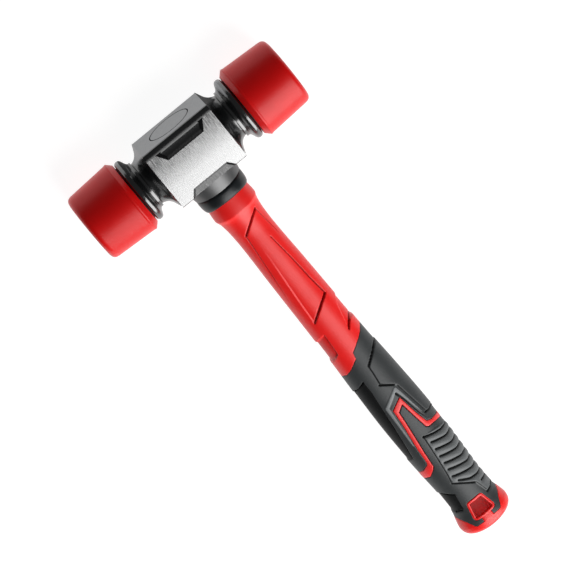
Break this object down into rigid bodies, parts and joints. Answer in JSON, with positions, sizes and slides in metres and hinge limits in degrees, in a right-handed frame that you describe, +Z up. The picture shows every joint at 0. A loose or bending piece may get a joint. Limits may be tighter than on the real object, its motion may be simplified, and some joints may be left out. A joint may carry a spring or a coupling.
{
  "type": "dead blow mallet",
  "caption": "Two-face mallet with screw-off soft faces, a shot-filled steel head and a cored handle with a moulded grip and hang hole.",
  "frame": {"origin": "on the bench, under the middle of the mallet as it lies on its back", "axes": "+X along the head towards the right face, +Y up the handle towards the head, +Z up out of the front cheek"},
  "size_m": [0.1396, 0.315, 0.045],
  "materials": {
    "head_steel": "forged steel, black oxide with ground and polished cheeks",
    "plug_steel": "turned, zinc plated",
    "stud_steel": "turned, zinc plated",
    "shot_steel": "cast shot, dull",
    "face_polyurethane": "cast polyurethane, satin",
    "washer_fibre": "pressed fibre",
    "seal_rubber": "moulded",
    "core_fibreglass": "pultruded glass fibre rod",
    "bond_epoxy": "cast",
    "collar_rubber": "moulded, satin",
    "sleeve_plastic": "injection moulded, satin",
    "grip_rubber": "overmoulded, fine matt texture",
    "inlay_rubber": "overmoulded, satin",
    "butt_plastic": "injection moulded, satin"
  },
  "bodies": {
    "head_and_handle": {"head_body": "head_steel", "eye_plug": "head_steel", "eye_resin": "bond_epoxy", "handle_core": "core_fibreglass", "collar": "collar_rubber", "handle_sleeve": "sleeve_plastic", "grip_overmould": "grip_rubber", "grip_inlay": "inlay_rubber", "butt_cap": "butt_plastic", "left_chamber_plug": "plug_steel", "right_chamber_plug": "plug_steel", "left_plug_seal": "seal_rubber", "right_plug_seal": "seal_rubber"},
    "left_washer": {"left_face_washer": "washer_fibre"},
    "right_washer": {"right_face_washer": "washer_fibre"},
    "left_face": {"left_face_stud": "stud_steel", "left_face_cap": "face_polyurethane"},
    "right_face": {"right_face_stud": "stud_steel", "right_face_cap": "face_polyurethane"},
    "left_shot": {"left_shot_charge": "shot_steel"},
    "right_shot": {"right_shot_charge": "shot_steel"}
  },
  "joints": [
    {"name": "left_face_advance", "type": "slide", "parent": "head_and_handle", "child": "left_washer", "axis": [-1, 0, 0], "range_m": [0, 0.0088]},
    {"name": "left_face_screw", "type": "hinge", "parent": "left_washer", "child": "left_face", "pos_m": [0, 0.135, 0.0225], "axis": [-1, 0, 0], "range_deg": [0, 1800]},
    {"name": "right_face_advance", "type": "slide", "parent": "head_and_handle", "child": "right_washer", "axis": [1, 0, 0], "range_m": [0, 0.0088]},
    {"name": "right_face_screw", "type": "hinge", "parent": "right_washer", "child": "right_face", "pos_m": [0, 0.135, 0.0225], "axis": [1, 0, 0], "range_deg": [0, 1800]},
    {"name": "left_shot_slide", "type": "slide", "parent": "head_and_handle", "child": "left_shot", "axis": [-1, 0, 0], "range_m": [0, 0.0036]},
    {"name": "right_shot_slide", "type": "slide", "parent": "head_and_handle", "child": "right_shot", "axis": [1, 0, 0], "range_m": [0, 0.0036]}
  ],
  "couplings": [
    {"joint": "left_face_advance", "follows": "left_face_screw", "m_per_rad": 0.00027852},
    {"joint": "right_face_advance", "follows": "right_face_screw", "m_per_rad": 0.00027852}
  ]
}
